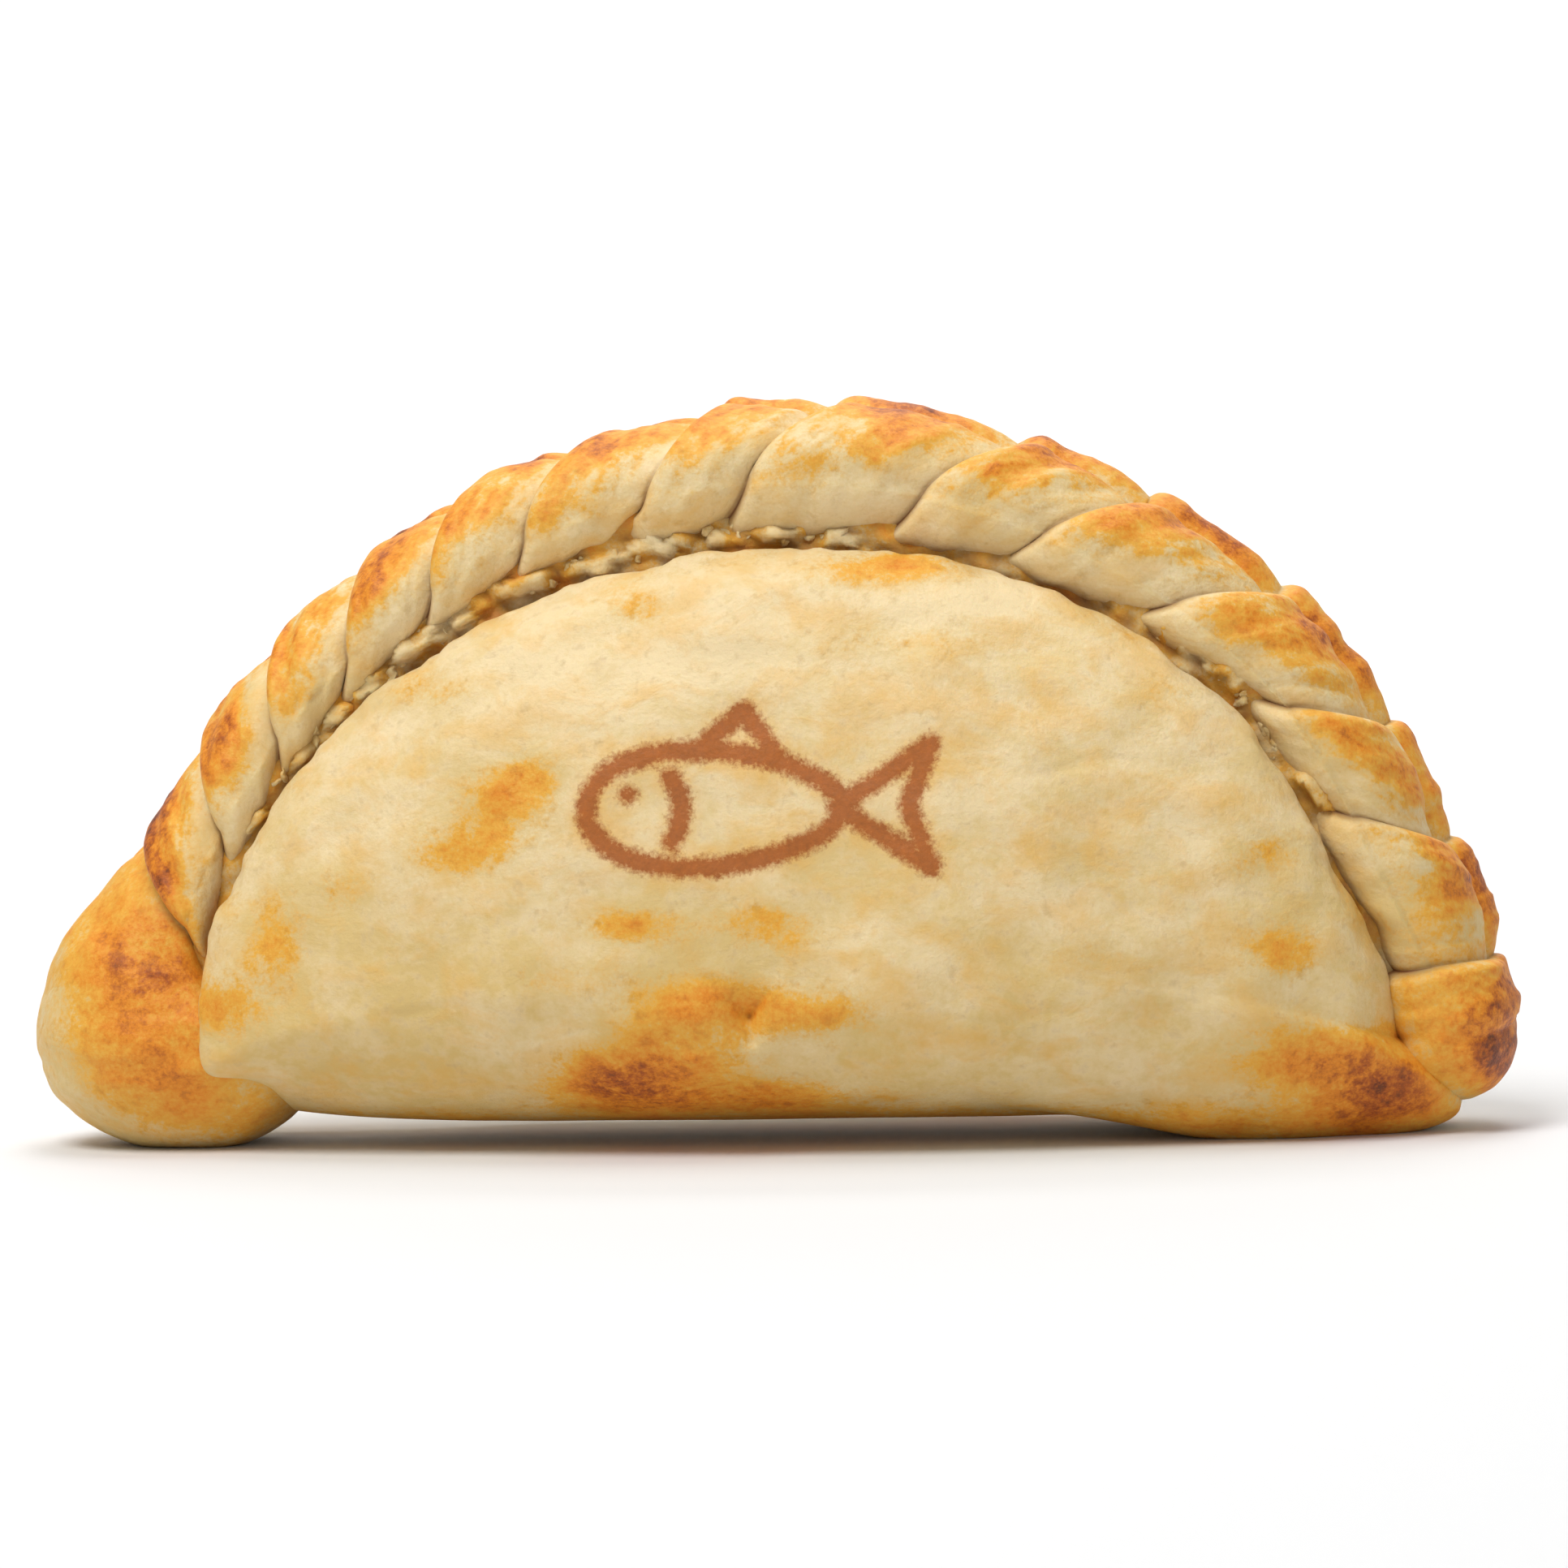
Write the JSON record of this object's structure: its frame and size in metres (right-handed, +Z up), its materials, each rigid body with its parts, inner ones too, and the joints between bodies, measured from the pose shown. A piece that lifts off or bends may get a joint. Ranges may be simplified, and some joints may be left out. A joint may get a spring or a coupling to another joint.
{
  "type": "empanada",
  "caption": "Baked half-moon turnover standing on its folded side, with a domed pastry pouch and a rope-folded rim that ends in a knob at each lower corner.",
  "frame": {"origin": "centre of the outline in plan, on the resting plane under the folded side", "axes": "+X along the folded side towards the small end knob, -Y out of the front of the pouch, +Z up"},
  "size_m": [0.13, 0.041, 0.0639],
  "materials": {
    "baked_dough": "matte baked pastry, cream to golden brown"
  },
  "bodies": {
    "root": {"empanada": "baked_dough"}
  },
  "joints": []
}
